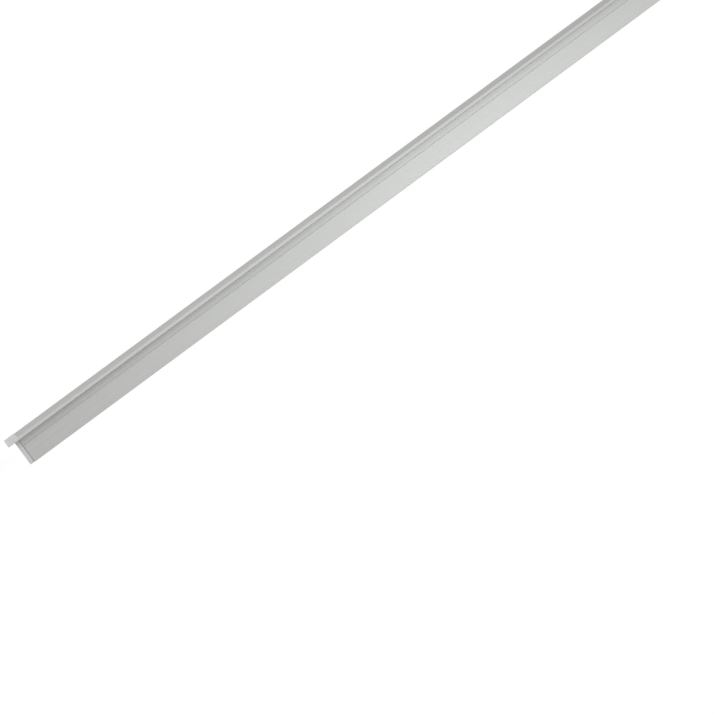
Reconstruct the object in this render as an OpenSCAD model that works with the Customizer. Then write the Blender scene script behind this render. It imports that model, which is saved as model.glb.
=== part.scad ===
// Recess-mounted LED channel: an extruded aluminium U with a flange along each
// top edge, closed at both ends by a flanged cap.
// X runs along the channel, Y across it and Z up, out of its open side.
// The origin is the middle of the channel's back. Sizes are in millimetres.

/* [Channel] */
// Length of the extruded channel, without its end caps
channel_l = 500; // [300:10:2000]
// Width of the channel below its flanges
body_w = 12.8; // [10:0.1:20]
// Height from the back to the top of the flanges
overall_h = 7; // [5.8:0.1:16]
// Thickness of the side walls
wall_t = 1.2; // [0.9:0.05:1.8]
// Thickness of the floor that the LED strip is stuck to
floor_t = 1.2; // [0.8:0.05:2]

/* [Flanges] */
// Reach of each flange past the body
flange_out = 1.6; // [0.8:0.1:6]
// Thickness of the flanges
flange_t = 1.6; // [1.2:0.05:2]
// Height of the flange's edge below its bevel
edge_h = 0.6; // [0.3:0.05:0.8]
// Set-back of the edge where its bevel starts
edge_in = 0.12; // [0:0.02:0.2]
// Set-back of the bevel at the top of the flange
bevel_in = 0.7; // [0.3:0.05:0.8]

/* [Outside of the walls] */
// Height of the set-back band under each flange
band_h = 1.5; // [1.2:0.05:2]
// Set-back of that band from the face below it
band_in = 0.15; // [0.1:0.05:0.35]
// Height of the band's foot, which slopes in towards the face's top edge
foot_h = 0.35; // [0.2:0.05:0.8]
// How much further than the band the low end of its foot is set back
foot_in = 0.03; // [0:0.01:0.1]

/* [Cover groove] */
// Height of the groove inside each wall that a clip-in cover snaps into
snap_h = 0.6; // [0.3:0.05:0.8]
// Depth of that groove into the wall
snap_d = 0.25; // [0.1:0.05:0.35]
// Distance from the top of the flanges down to the groove
snap_drop = 0.9; // [0.6:0.05:1.2]

/* [End caps] */
// Reach of the cap's lip past the cap's plate, along the channel
cap_lip_out = 1.5; // [0.5:0.1:4]
// Radius of the lip's outer corners, seen from above
cap_corner_r = 0.9; // [0.3:0.1:1.4]
// Chamfer along the top and the bottom of the lip's outer end
cap_chamfer = 0.14; // [0:0.02:0.3]
// Height of the lip above the flanges
cap_proud = 0.06; // [0:0.01:0.2]
// Thickness of the cap's plate
cap_plate_t = 0.9; // [0.6:0.1:2]
// Inset of the plate's outline from the outside of the channel
cap_inset = 0.08; // [0:0.01:0.3]
// Width of the shadow line between the plate and the channel
shadow_w = 0.16; // [0.1:0.02:0.5]
// Depth of the shadow line in from the plate's two sides
shadow_d = 0.2; // [0.1:0.05:0.6]
// Length of the plug that holds the cap in the channel
plug_l = 5; // [3:0.5:12]
// Clearance around the plug
plug_gap = 0.1; // [0.05:0.01:0.2]

/* [Hidden] */
$fn = 48;

flange_w = body_w + 2 * flange_out;
inner_w = body_w - 2 * wall_t;
under_z = overall_h - flange_t;
band_z = under_z - band_h;
cap_lip_l = cap_lip_out + cap_plate_t + shadow_w;
cap_top_z = overall_h + cap_proud;
// Cuts reach this far past the surface that they open
past = 1;

// Draws a section of Y and Z along X, from x0 to x1
module along_x(x0, x1) {
    translate([x0, 0, 0])
        rotate([90, 0, 90])
            linear_extrude(height = x1 - x0)
                children();
}

// The same points on the other side, in the order that closes the outline
function mirrored(points) = [
    for (i = [len(points) - 1:-1:0])
        [-points[i][0], points[i][1]]
];

// A flange's edge seen from its end: underside, foot of the bevel and top
function edge_points(reach, top_z) = [
    [reach, under_z],
    [reach - edge_in, under_z + edge_h],
    [reach - bevel_in, top_z]
];

// The outside of one wall, from the channel's back up to its flange
function wall_points(half) = [
    [half, 0],
    [half, band_z],
    [half - band_in - foot_in, band_z],
    [half - band_in, band_z + foot_h],
    [half - band_in, under_z]
];

// The lip seen along the channel, with the flange's edge on both sides
module lip_section() {
    edge = edge_points(flange_w / 2, cap_top_z);
    polygon(concat(edge, mirrored(edge)));
}

// The lip seen from the side, from its outer end to the channel
module lip_profile(x0) {
    polygon([
        [x0 - cap_lip_l + cap_chamfer, under_z],
        [x0, under_z],
        [x0, cap_top_z],
        [x0 - cap_lip_l + cap_chamfer, cap_top_z],
        [x0 - cap_lip_l, cap_top_z - cap_chamfer],
        [x0 - cap_lip_l, under_z + cap_chamfer]
    ]);
}

// The whole outside of the channel
module outer_section() {
    side = concat(wall_points(body_w / 2), edge_points(flange_w / 2, overall_h));
    polygon(concat(side, mirrored(side)));
}

// The space for the LED strip, open at the top, with its two cover grooves
module hollow_section() {
    translate([-inner_w / 2, floor_t])
        square([inner_w, overall_h + past - floor_t]);
    translate([-inner_w / 2 - snap_d, overall_h - snap_drop - snap_h])
        square([inner_w + 2 * snap_d, snap_h]);
}

module channel() {
    color("silver")
        along_x(-channel_l / 2, channel_l / 2)
            difference() {
                outer_section();
                hollow_section();
            }
}

// The lip's outline from above, square where it meets the channel
module lip_plan(x0) {
    straight = cap_lip_l - cap_corner_r;
    half = flange_w / 2;
    translate([x0 - straight, -half])
        square([straight, flange_w]);
    translate([x0 - cap_lip_l, cap_corner_r - half])
        square([cap_lip_l, flange_w - 2 * cap_corner_r]);
    for (side = [-1, 1])
        translate([x0 - straight, side * (half - cap_corner_r)])
            circle(r = cap_corner_r);
}

// The lip goes on from both flanges, past the plate to its rounded corners
module cap_lip(x0) {
    intersection() {
        along_x(x0 - cap_lip_l, x0)
            lip_section();
        translate([0, flange_w, 0])
            rotate([90, 0, 0])
                linear_extrude(height = 2 * flange_w)
                    lip_profile(x0);
        linear_extrude(height = cap_top_z + past)
            lip_plan(x0);
    }
}

// A plate across the end of the body, under the lip, drawn in from the body's two sides
module cap_plate(x0, x1, side_inset) {
    translate([x0, side_inset - body_w / 2, cap_inset])
        cube([x1 - x0, body_w - 2 * side_inset, under_z - cap_inset]);
}

module cap() {
    x0 = -channel_l / 2;
    plug_w = inner_w - 2 * plug_gap;
    color("darkgray") {
        cap_lip(x0);
        cap_plate(x0 - shadow_w - cap_plate_t, x0 - shadow_w, cap_inset);
        cap_plate(x0 - shadow_w, x0, cap_inset + shadow_d);
        translate([x0, -plug_w / 2, floor_t + plug_gap])
            cube([plug_l, plug_w, under_z - floor_t - plug_gap]);
    }
}

module end_cap_left() {
    cap();
}

module end_cap_right() {
    mirror([1, 0, 0])
        cap();
}

channel();
end_cap_left();
end_cap_right();
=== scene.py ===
import math

import bmesh
import bpy
from mathutils import Matrix, Vector


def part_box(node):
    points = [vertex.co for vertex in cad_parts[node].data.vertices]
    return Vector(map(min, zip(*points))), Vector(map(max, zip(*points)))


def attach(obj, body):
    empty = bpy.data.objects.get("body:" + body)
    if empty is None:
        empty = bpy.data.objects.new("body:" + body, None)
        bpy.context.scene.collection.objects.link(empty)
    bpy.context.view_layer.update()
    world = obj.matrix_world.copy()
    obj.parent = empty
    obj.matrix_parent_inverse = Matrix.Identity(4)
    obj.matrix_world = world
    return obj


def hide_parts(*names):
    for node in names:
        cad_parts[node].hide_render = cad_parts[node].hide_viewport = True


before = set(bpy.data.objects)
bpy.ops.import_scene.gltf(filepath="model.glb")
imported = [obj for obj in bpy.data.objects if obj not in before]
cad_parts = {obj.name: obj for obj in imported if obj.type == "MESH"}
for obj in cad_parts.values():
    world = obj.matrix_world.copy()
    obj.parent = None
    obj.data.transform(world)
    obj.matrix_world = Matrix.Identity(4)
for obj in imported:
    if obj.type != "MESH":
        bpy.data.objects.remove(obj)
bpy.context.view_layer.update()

# Metres in a millimetre: the sizes below are in millimetres, and the meshes in metres
MM = 0.001

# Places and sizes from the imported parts
channel_lo, channel_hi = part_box("channel")
left_end = channel_lo.x
channel_l = channel_hi.x - channel_lo.x
half_flange = channel_hi.y
cap_lo, cap_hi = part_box("end_cap_left")

# Channel: what the extrusion die rounds
FILLET_STEPS = 4
BACK_FILLET = 0.1 * MM
EDGE_FILLET = 0.02 * MM
TOP_FILLET = 0.25 * MM
ROOT_FILLET = 0.03 * MM
# A fillet takes at most this share of the narrower face beside it
NARROW_SHARE = 0.2
# A bend of less than this stays as it is
SHALLOW_BEND = math.radians(10)
# The flange's bevel meets its top at less than this
BEVEL_ANGLE = math.radians(75)
# Faces that meet at less than this are parts of one flat face
FLAT_ANGLE = math.radians(0.5)
# A face whose normal has more than this of X in it is an end face
END_FACING = 0.5
WORN_AND_HIGHLIT = "worn_and_highlit"

# End cap: its sizes, its rounds, and the lead-in and crush ribs of its plug
LIP_UNDER = 5.4 * MM
LIP_EDGE_H = 0.6 * MM
LIP_EDGE_IN = 0.12 * MM
LIP_BEVEL_IN = 0.7 * MM
LIP_CORNER_R = 0.9 * MM
CORNER_STEPS = 10
RIM_FILLET = 0.06 * MM
LIP_TOP_FILLET = 0.12 * MM
PLATE_T = 0.9 * MM
PLATE_HALF_W = 6.32 * MM
PLATE_CORNER_R = 0.1 * MM
SHADOW_W = 0.16 * MM
SHADOW_D = 0.2 * MM
PLUG_HALF_W = 5.1 * MM
PLUG_LOW = 1.3 * MM
# The plug's top stays a little under the plane of the lip's underside
PLUG_TOP = 5.32 * MM
PLUG_LEAD = 0.35 * MM
CRUSH_RIB_R = 0.25 * MM
CRUSH_RIB_OUT = 0.08 * MM
CRUSH_RIB_SIDES = 24
CRUSH_RIB_FROM_END = (1.5 * MM, 3.6 * MM)
# How far the cap's blocks reach into each other before they are joined
OVERLAP = 0.3 * MM
# A face whose normal has more than this of Z in it faces up
UPWARD = 0.9

# Shading
SMOOTH_ANGLE = math.radians(30)
SAME_PLACE = 0.001 * MM


def only(piece):
    """Makes the piece the one that is selected and active."""
    bpy.ops.object.select_all(action="DESELECT")
    piece.select_set(True)
    bpy.context.view_layer.objects.active = piece


def edit(piece):
    """Opens the piece in edit mode with nothing selected."""
    only(piece)
    bpy.ops.object.mode_set(mode="EDIT")
    bpy.ops.mesh.select_all(action="DESELECT")


def done():
    bpy.ops.object.mode_set(mode="OBJECT")


def pick_edges(piece, test):
    """Selects the edges, in edit mode, whose two ends pass the test."""
    bpy.ops.mesh.select_mode(type="EDGE")
    bpy.ops.mesh.select_all(action="DESELECT")
    mesh = bmesh.from_edit_mesh(piece.data)
    for e in mesh.edges:
        if test(*[vert.co for vert in e.verts]):
            e.select_set(True)
    bmesh.update_edit_mesh(piece.data)


def pick_faces(piece, test):
    """Selects the faces, in edit mode, whose normal passes the test."""
    bpy.ops.mesh.select_mode(type="FACE")
    bpy.ops.mesh.select_all(action="DESELECT")
    mesh = bmesh.from_edit_mesh(piece.data)
    for face in mesh.faces:
        if test(face.normal):
            face.select_set(True)
    bmesh.update_edit_mesh(piece.data)


def near(a, b):
    return abs(a - b) < SAME_PLACE


def apply_modifier(piece, kind, **settings):
    only(piece)
    modifier = piece.modifiers.new(kind.lower(), kind)
    for name, value in settings.items():
        setattr(modifier, name, value)
    bpy.ops.object.modifier_apply(modifier=modifier.name)


def smooth_shading(piece):
    """Rounds shade smoothly, and the flat faces beside them stay flat."""
    only(piece)
    bpy.ops.object.shade_smooth_by_angle(angle=SMOOTH_ANGLE)
    apply_modifier(piece, "WEIGHTED_NORMAL", keep_sharp=True)


def block(name, low, high):
    """A box between two corners, as the start of a piece."""
    low, high = Vector(low), Vector(high)
    bpy.ops.object.select_all(action="DESELECT")
    bpy.ops.mesh.primitive_cube_add(size=1, location=(low + high) / 2)
    piece = bpy.context.object
    piece.name = name
    piece.scale = high - low
    bpy.ops.object.transform_apply(location=True, rotation=True, scale=True)
    return piece


def join_solids(piece, others):
    """Makes one closed solid of solids that reach into each other."""
    for other in others:
        apply_modifier(piece, "BOOLEAN", operation="UNION", solver="EXACT", object=other)
        bpy.data.objects.remove(other)


# Channel


def fillet_of(e, length):
    """How far a lengthwise edge is rounded back over the faces beside it."""
    narrower = min(face.calc_area() for face in e.link_faces) / length
    place = e.verts[0].co
    if e.calc_face_angle() < SHALLOW_BEND:
        wanted = 0
    elif near(place.z, channel_lo.z):
        wanted = BACK_FILLET
    elif near(place.z, channel_hi.z) and e.calc_face_angle() < BEVEL_ANGLE:
        wanted = TOP_FILLET
    elif e.is_convex:
        wanted = EDGE_FILLET
    else:
        wanted = ROOT_FILLET
    return min(wanted, NARROW_SHARE * narrower)


def extruded_channel():
    piece = bpy.data.objects.new("led_channel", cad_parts["channel"].data.copy())
    bpy.context.scene.collection.objects.link(piece)
    # The second slot only marks the fillets, until the worn edges, which also get a painted highlight, are
    # marked
    piece.data.materials.clear()
    piece.data.materials.append(None)
    piece.data.materials.append(None)
    edit(piece)
    bpy.ops.mesh.select_all(action="SELECT")
    bpy.ops.mesh.customdata_custom_splitnormals_clear()
    bpy.ops.mesh.remove_doubles(threshold=SAME_PLACE)
    bpy.ops.mesh.dissolve_limited(angle_limit=FLAT_ANGLE)

    mesh = bmesh.from_edit_mesh(piece.data)
    weight = mesh.edges.layers.float.new("bevel_weight_edge")
    for e in mesh.edges:
        if near(e.calc_length(), channel_l):
            e[weight] = fillet_of(e, channel_l) / TOP_FILLET
    bmesh.update_edit_mesh(piece.data)
    done()
    apply_modifier(
        piece,
        "BEVEL",
        limit_method="WEIGHT",
        width=TOP_FILLET,
        segments=FILLET_STEPS,
        use_clamp_overlap=False,
        material=1,
    )
    mark_worn_and_highlit(piece)
    smooth_shading(piece)
    return piece


def mark_worn_and_highlit(piece):
    """Marks the middle of the fillets along the top and the back, where handling rubs the film and where a
    highlight is painted on.
    """
    mesh = piece.data
    worn_and_highlit = mesh.attributes.new(WORN_AND_HIGHLIT, "FLOAT", "POINT")
    for mark in worn_and_highlit.data:
        mark.value = 1
    for face in mesh.polygons:
        lengthwise = abs(face.normal.x) < END_FACING
        outermost = min(face.center.z - channel_lo.z, channel_hi.z - face.center.z) < TOP_FILLET
        if lengthwise and not (face.material_index == 1 and outermost):
            for index in face.vertices:
                worn_and_highlit.data[index].value = 0
        face.material_index = 0


# End caps


def cap_lip():
    """The lip goes on from the flanges: a flat slab with rounded corners and bevelled sides."""
    low = (cap_lo.x, -half_flange, LIP_UNDER)
    edge_top = LIP_UNDER + LIP_EDGE_H
    piece = block("cap_lip", low, (left_end, half_flange, edge_top))
    edit(piece)
    pick_edges(piece, lambda a, b: near(a.x, cap_lo.x) and near(b.x, cap_lo.x) and near(a.y, b.y))
    bpy.ops.mesh.bevel(offset=LIP_CORNER_R, segments=CORNER_STEPS, affect="EDGES")

    middle = (left_end, 0, 0)
    pick_faces(piece, lambda normal: normal.z > UPWARD)
    edge_half = half_flange - LIP_EDGE_IN
    bpy.ops.transform.resize(value=(1, edge_half / half_flange, 1), center_override=middle)
    bpy.ops.mesh.extrude_region_move(TRANSFORM_OT_translate={"value": (0, 0, cap_hi.z - edge_top)})
    top_half = half_flange - LIP_BEVEL_IN
    bpy.ops.transform.resize(value=(1, top_half / edge_half, 1), center_override=middle)

    for level, fillet in ((LIP_UNDER, RIM_FILLET), (cap_hi.z, LIP_TOP_FILLET), (edge_top, RIM_FILLET)):
        pick_edges(
            piece,
            lambda a, b: near(a.z, level) and near(b.z, level) and min(a.x, b.x) < left_end - SAME_PLACE,
        )
        bpy.ops.mesh.bevel(offset=fillet, segments=FILLET_STEPS, affect="EDGES")
    done()
    return piece


def cap_plate():
    """The plate under the lip closes the end of the body."""
    outer = left_end - SHADOW_W - PLATE_T
    inner = left_end - SHADOW_W
    low = (outer, -PLATE_HALF_W, cap_lo.z)
    piece = block("cap_plate", low, (inner, PLATE_HALF_W, LIP_UNDER + OVERLAP))
    edit(piece)
    pick_edges(piece, lambda a, b: near(a.z, cap_lo.z) and near(b.z, cap_lo.z) and near(a.y, b.y))
    bpy.ops.mesh.bevel(offset=PLATE_CORNER_R, segments=CORNER_STEPS // 2, affect="EDGES")
    pick_edges(
        piece,
        lambda a, b: near(a.x, outer) and near(b.x, outer) and min(a.z, b.z) < LIP_UNDER,
    )
    bpy.ops.mesh.bevel(offset=RIM_FILLET, segments=FILLET_STEPS, affect="EDGES")
    done()
    return piece


def cap_neck():
    """The neck is narrower than the plate, which leaves the shadow line on both sides."""
    half = PLATE_HALF_W - SHADOW_D
    low = (left_end - SHADOW_W - OVERLAP, -half, cap_lo.z)
    return block("cap_neck", low, (left_end, half, LIP_UNDER + OVERLAP))


def cap_plug():
    """The plug has a lead-in at its tip, and crush ribs that grip the channel's walls."""
    tip = cap_hi.x
    low = (left_end - SHADOW_W, -PLUG_HALF_W, PLUG_LOW)
    piece = block("cap_plug", low, (tip, PLUG_HALF_W, PLUG_TOP))
    edit(piece)
    pick_edges(piece, lambda a, b: near(a.x, tip) and near(b.x, tip))
    bpy.ops.mesh.bevel(offset=PLUG_LEAD, segments=1, affect="EDGES")
    done()
    ribs = [
        crush_rib(left_end + along, side)
        for along in CRUSH_RIB_FROM_END
        for side in (-1, 1)
    ]
    join_solids(piece, ribs)
    return piece


def crush_rib(x, side):
    height = PLUG_TOP - PLUG_LOW - 2 * PLUG_LEAD
    y = side * (PLUG_HALF_W + CRUSH_RIB_OUT - CRUSH_RIB_R)
    bpy.ops.object.select_all(action="DESELECT")
    bpy.ops.mesh.primitive_cylinder_add(
        vertices=CRUSH_RIB_SIDES,
        radius=CRUSH_RIB_R,
        depth=height,
        location=(x, y, (PLUG_TOP + PLUG_LOW) / 2),
    )
    bpy.ops.object.transform_apply(location=True, rotation=True, scale=True)
    return bpy.context.object


def moulded_cap():
    piece = cap_lip()
    join_solids(piece, [cap_plate(), cap_neck(), cap_plug()])
    smooth_shading(piece)
    return piece


def mirrored_cap(cap):
    only(cap)
    bpy.ops.object.duplicate()
    piece = bpy.context.object
    edit(piece)
    bpy.ops.mesh.select_all(action="SELECT")
    bpy.ops.transform.mirror(constraint_axis=(True, False, False), center_override=(0, 0, 0))
    bpy.ops.mesh.normals_make_consistent(inside=False)
    done()
    smooth_shading(piece)
    return piece


# Materials

# Most of a noise lies between these values
NOISE_MIDDLE = (0.3, 0.7)
NOISE_ROUGHNESS = 0.6


def new_material(name):
    material = bpy.data.materials.new(name)
    material.use_nodes = True
    return material, material.node_tree


def scaled_coordinates(tree, per_metre):
    place = tree.nodes.new("ShaderNodeTexCoord")
    mapping = tree.nodes.new("ShaderNodeMapping")
    mapping.inputs["Scale"].default_value = per_metre
    tree.links.new(place.outputs["Object"], mapping.inputs["Vector"])
    return mapping.outputs["Vector"]


def noise(tree, per_metre, detail, seed):
    """Noise from 0 to 1 whose features repeat so many times a metre along X, Y and Z."""
    texture = tree.nodes.new("ShaderNodeTexNoise")
    texture.noise_dimensions = "4D"
    texture.inputs["W"].default_value = seed
    texture.inputs["Scale"].default_value = 1
    texture.inputs["Detail"].default_value = detail
    texture.inputs["Roughness"].default_value = NOISE_ROUGHNESS
    tree.links.new(scaled_coordinates(tree, per_metre), texture.inputs["Vector"])
    return texture.outputs["Fac"]


def to_range(tree, value, low, high):
    """Spreads the middle of a noise over a range."""
    spread = tree.nodes.new("ShaderNodeMapRange")
    spread.inputs["From Min"].default_value = NOISE_MIDDLE[0]
    spread.inputs["From Max"].default_value = NOISE_MIDDLE[1]
    spread.inputs["To Min"].default_value = low
    spread.inputs["To Max"].default_value = high
    tree.links.new(value, spread.inputs["Value"])
    return spread.outputs["Result"]


def varied(tree, value, share):
    """A factor that goes this share to both sides of 1."""
    return to_range(tree, value, 1 - share, 1 + share)


def where_worn_and_highlit(tree, wear_and_highlight, factor):
    """Goes from 1 on the flat faces to a factor on the rubbed edges, as far as the wear reaches; it sets
    both their smoother finish and their painted highlight.
    """
    marked = tree.nodes.new("ShaderNodeAttribute")
    marked.attribute_name = WORN_AND_HIGHLIT
    share = tree.nodes.new("ShaderNodeMapRange")
    share.inputs["To Min"].default_value = 1
    share.inputs["To Max"].default_value = factor
    tree.links.new(multiply(tree, marked.outputs["Fac"], wear_and_highlight), share.inputs["Value"])
    return share.outputs["Result"]


def multiply(tree, a, b):
    product = tree.nodes.new("ShaderNodeMath")
    product.operation = "MULTIPLY"
    tree.links.new(a, product.inputs[0])
    tree.links.new(b, product.inputs[1])
    return product.outputs["Value"]


def tinted(tree, colour, brightness):
    """A colour whose brightness follows a value around 1."""
    tint = tree.nodes.new("ShaderNodeVectorMath")
    tint.operation = "SCALE"
    tint.inputs[0].default_value = colour
    tree.links.new(brightness, tint.inputs["Scale"])
    return tint.outputs["Vector"]


def bump(tree, height, depth, normal=None):
    relief = tree.nodes.new("ShaderNodeBump")
    relief.inputs["Strength"].default_value = 1
    relief.inputs["Distance"].default_value = depth
    tree.links.new(height, relief.inputs["Height"])
    if normal:
        tree.links.new(normal, relief.inputs["Normal"])
    return relief.outputs["Normal"]


ALUMINIUM = (0.396, 0.4, 0.387)
ANISOTROPY = 0.9
ALUMINIUM_ROUGHNESS = (0.32, 0.36)
# Features in a metre along X, Y and Z
DIE_LINES = (5, 3600, 3600)
FINE_DIE_LINES = (12, 11000, 11000)
ETCH_GRAIN = (9000, 14000, 14000)
FILM_PATCHES = (14, 90, 90)
EDGE_WEAR_AND_HIGHLIGHT = (220, 2200, 2200)
# How far each one changes the brightness, as a share
DIE_LINE_TINT = 0.025
FINE_LINE_TINT = 0.05
GRAIN_TINT = 0.04
PATCH_TINT = 0.015
# Relief
DIE_LINE_DEPTH = 0.0008 * MM
FINE_LINE_DEPTH = 0.0012 * MM
GRAIN_DEPTH = 0.0002 * MM
# A rubbed edge is this much smoother where the wear is full, and this much brighter, which is partly wear
# and partly a painted highlight
WEAR_AND_HIGHLIGHT = (0.4, 1)
WEAR_AND_HIGHLIGHT_BRIGHTER = 1.25
RUBBED_SMOOTHER = 0.85


def anodised_aluminium():
    """Satin anodised aluminium: die lines run along the extrusion, under an etched grain."""
    material, tree = new_material("anodised_aluminium")
    shader = tree.nodes["Principled BSDF"]
    shader.inputs["Metallic"].default_value = 1
    shader.inputs["Anisotropic"].default_value = ANISOTROPY
    across = tree.nodes.new("ShaderNodeTangent")
    across.direction_type = "RADIAL"
    across.axis = "X"
    tree.links.new(across.outputs["Tangent"], shader.inputs["Tangent"])

    lines = noise(tree, DIE_LINES, detail=3, seed=0)
    fine_lines = noise(tree, FINE_DIE_LINES, detail=2, seed=3)
    grain = noise(tree, ETCH_GRAIN, detail=2, seed=6)
    patches = noise(tree, FILM_PATCHES, detail=2, seed=9)
    wear_and_highlight = to_range(tree, noise(tree, EDGE_WEAR_AND_HIGHLIGHT, detail=3, seed=12), *WEAR_AND_HIGHLIGHT)

    brightness = multiply(tree, varied(tree, lines, DIE_LINE_TINT), varied(tree, patches, PATCH_TINT))
    brightness = multiply(tree, brightness, varied(tree, fine_lines, FINE_LINE_TINT))
    brightness = multiply(tree, brightness, varied(tree, grain, GRAIN_TINT))
    # Painted highlight along the top and back edges, partly standing in for wear that bares brighter metal
    brightness = multiply(tree, brightness, where_worn_and_highlit(tree, wear_and_highlight, WEAR_AND_HIGHLIGHT_BRIGHTER))
    tree.links.new(tinted(tree, ALUMINIUM, brightness), shader.inputs["Base Color"])

    roughness = to_range(tree, fine_lines, *ALUMINIUM_ROUGHNESS)
    roughness = multiply(tree, roughness, where_worn_and_highlit(tree, wear_and_highlight, RUBBED_SMOOTHER))
    tree.links.new(roughness, shader.inputs["Roughness"])

    normal = bump(tree, lines, DIE_LINE_DEPTH)
    normal = bump(tree, fine_lines, FINE_LINE_DEPTH, normal)
    normal = bump(tree, grain, GRAIN_DEPTH, normal)
    tree.links.new(normal, shader.inputs["Normal"])
    return material


PLASTIC = (0.452, 0.453, 0.447)
PLASTIC_ROUGHNESS = (0.42, 0.54)
SPARK_TEXTURE = (6500, 6500, 6500)
FLOW_MARKS = (160, 60, 220)
TEXTURE_TINT = 0.03
FLOW_TINT = 0.02
TEXTURE_DEPTH = 0.014 * MM


def cap_plastic():
    """Grey moulded plastic with the fine texture of a spark-eroded mould."""
    material, tree = new_material("cap_plastic")
    shader = tree.nodes["Principled BSDF"]
    texture = noise(tree, SPARK_TEXTURE, detail=2, seed=2)
    flow = noise(tree, FLOW_MARKS, detail=2, seed=5)
    brightness = multiply(tree, varied(tree, flow, FLOW_TINT), varied(tree, texture, TEXTURE_TINT))
    tree.links.new(tinted(tree, PLASTIC, brightness), shader.inputs["Base Color"])
    tree.links.new(to_range(tree, texture, *PLASTIC_ROUGHNESS), shader.inputs["Roughness"])
    tree.links.new(bump(tree, texture, TEXTURE_DEPTH), shader.inputs["Normal"])
    return material


# Stage

FLOOR_SIZE = 20
# The floor lies this far under the channel's back, so that the two faces don't share a plane
FLOOR_GAP = 0.02 * MM
FLOOR_COLOUR = (0.9, 0.9, 0.9, 1)
FLOOR_ROUGHNESS = 0.9
FLOOR_SPECULAR = 0.2
# How much of the floor that is seen is plain white, which leaves the rest for the shadow
FLOOR_GLOW = 0.85
WHITE = (1, 1, 1, 1)


def seen_rays(tree, share):
    """A share for the rays that see the stage: camera, mirror-like and see-through ones."""
    path = tree.nodes.new("ShaderNodeLightPath")
    seen = path.outputs["Is Camera Ray"]
    for ray in ("Is Glossy Ray", "Is Transmission Ray"):
        either = tree.nodes.new("ShaderNodeMath")
        either.operation = "MAXIMUM"
        tree.links.new(seen, either.inputs[0])
        tree.links.new(path.outputs[ray], either.inputs[1])
        seen = either.outputs["Value"]
    part = tree.nodes.new("ShaderNodeMath")
    part.operation = "MULTIPLY"
    part.inputs[1].default_value = share
    tree.links.new(seen, part.inputs[0])
    return part.outputs["Value"]


def floor():
    bpy.ops.object.select_all(action="DESELECT")
    bpy.ops.mesh.primitive_plane_add(size=FLOOR_SIZE, location=(0, 0, -FLOOR_GAP))
    plane = bpy.context.object
    plane.name = "floor"
    material, tree = new_material("pale_floor")
    shader = tree.nodes["Principled BSDF"]
    shader.inputs["Base Color"].default_value = FLOOR_COLOUR
    shader.inputs["Roughness"].default_value = FLOOR_ROUGHNESS
    shader.inputs["Specular IOR Level"].default_value = FLOOR_SPECULAR
    glow = tree.nodes.new("ShaderNodeEmission")
    glow.inputs["Color"].default_value = WHITE
    mix = tree.nodes.new("ShaderNodeMixShader")
    tree.links.new(seen_rays(tree, FLOOR_GLOW), mix.inputs["Fac"])
    tree.links.new(shader.outputs["BSDF"], mix.inputs[1])
    tree.links.new(glow.outputs["Emission"], mix.inputs[2])
    tree.links.new(mix.outputs["Shader"], tree.nodes["Material Output"].inputs["Surface"])
    # Rays that meet the floor find its glow, so the light samples are left to the lamps
    material.cycles.emission_sampling = "NONE"
    plane.data.materials.append(material)


def white_world():
    world = bpy.data.worlds.new("studio")
    bpy.context.scene.world = world
    world.use_nodes = True
    background = world.node_tree.nodes["Background"]
    background.inputs["Color"].default_value = WHITE
    background.inputs["Strength"].default_value = 1


LAMP_DISTANCE = 3
COOL = (0.95, 0.975, 1)
NEUTRAL = (1, 1, 1)
# Name, side angles from straight in front, heights, all in degrees, colour, and brightness beside white
LAMPS = (
    ("strip", (9, 15), (0.1, 4), COOL, 9.5),
    ("panel", (3, 22), (0.1, 5), COOL, 3.95),
    ("key", (-5, 15), (20, 45), NEUTRAL, 1.05),
    ("side", (-90, -15), (15, 50), NEUTRAL, 0.9),
)


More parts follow.
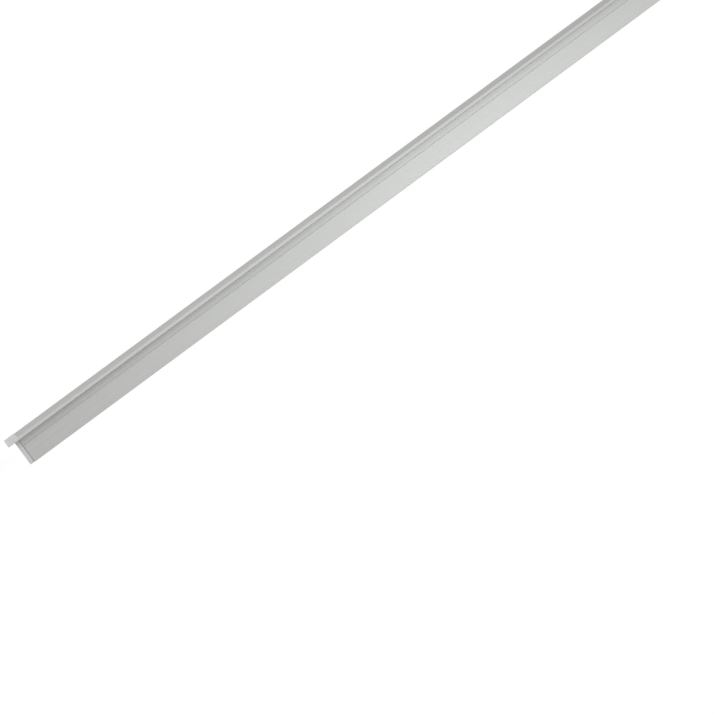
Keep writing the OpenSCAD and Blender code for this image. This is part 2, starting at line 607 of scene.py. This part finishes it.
def lamp(name, sides, heights, colour, brightness):
    """A soft lamp that fills the given angles as seen from the channel's left end."""
    data = bpy.data.lights.new(name, "AREA")
    data.shape = "RECTANGLE"
    data.color = colour
    data.size = 2 * LAMP_DISTANCE * math.tan(math.radians(sides[1] - sides[0]) / 2)
    data.size_y = 2 * LAMP_DISTANCE * math.tan(math.radians(heights[1] - heights[0]) / 2)
    data.energy = brightness * math.pi * data.size * data.size_y
    side = math.radians(sum(sides) / 2)
    height = math.radians(sum(heights) / 2)
    back = Vector((math.sin(side) * math.cos(height), -math.cos(side) * math.cos(height), math.sin(height)))
    light = bpy.data.objects.new(name, data)
    bpy.context.scene.collection.objects.link(light)
    light.location = Vector((left_end, 0, 0)) + LAMP_DISTANCE * back
    light.rotation_euler = back.to_track_quat("Z", "Y").to_euler()


# Camera

LENS_MM = 160
SENSOR_MM = 36
CLIP_START = 0.01
CLIP_END = 50
CAMERA_PLACE = Vector((left_end, -0.647, 0.004))
YAW = math.radians(5.77)
PITCH = math.radians(-2.2984)
ROLL = math.radians(-36.404)


def camera():
    """The camera looks at the side wall, rolled so that the channel rises across the view."""
    data = bpy.data.cameras.new("camera")
    data.lens = LENS_MM
    data.sensor_width = SENSOR_MM
    data.clip_start = CLIP_START
    data.clip_end = CLIP_END
    view = bpy.data.objects.new("camera", data)
    bpy.context.scene.collection.objects.link(view)
    forward = Vector((math.sin(YAW) * math.cos(PITCH), math.cos(YAW) * math.cos(PITCH), math.sin(PITCH)))
    right = Vector((math.cos(YAW), -math.sin(YAW), 0))
    up = right.cross(forward)
    rolled_right = right * math.cos(ROLL) + up * math.sin(ROLL)
    rolled_up = up * math.cos(ROLL) - right * math.sin(ROLL)
    matrix = Matrix((rolled_right, rolled_up, -forward)).transposed().to_4x4()
    matrix.translation = CAMERA_PLACE
    view.matrix_world = matrix
    bpy.context.scene.camera = view


def place_piece(piece, node, material):
    piece.name = f"{node}_finished"
    piece.data.name = piece.name
    piece.data.materials.clear()
    piece.data.materials.append(material)
    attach(piece, "root")
    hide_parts(node)


camera()
aluminium = anodised_aluminium()
plastic = cap_plastic()
place_piece(extruded_channel(), "channel", aluminium)
left_cap = moulded_cap()
right_cap = mirrored_cap(left_cap)
place_piece(left_cap, "end_cap_left", plastic)
place_piece(right_cap, "end_cap_right", plastic)

floor()
white_world()
for lamp_settings in LAMPS:
    lamp(*lamp_settings)
bpy.context.scene.view_settings.view_transform = "Standard"
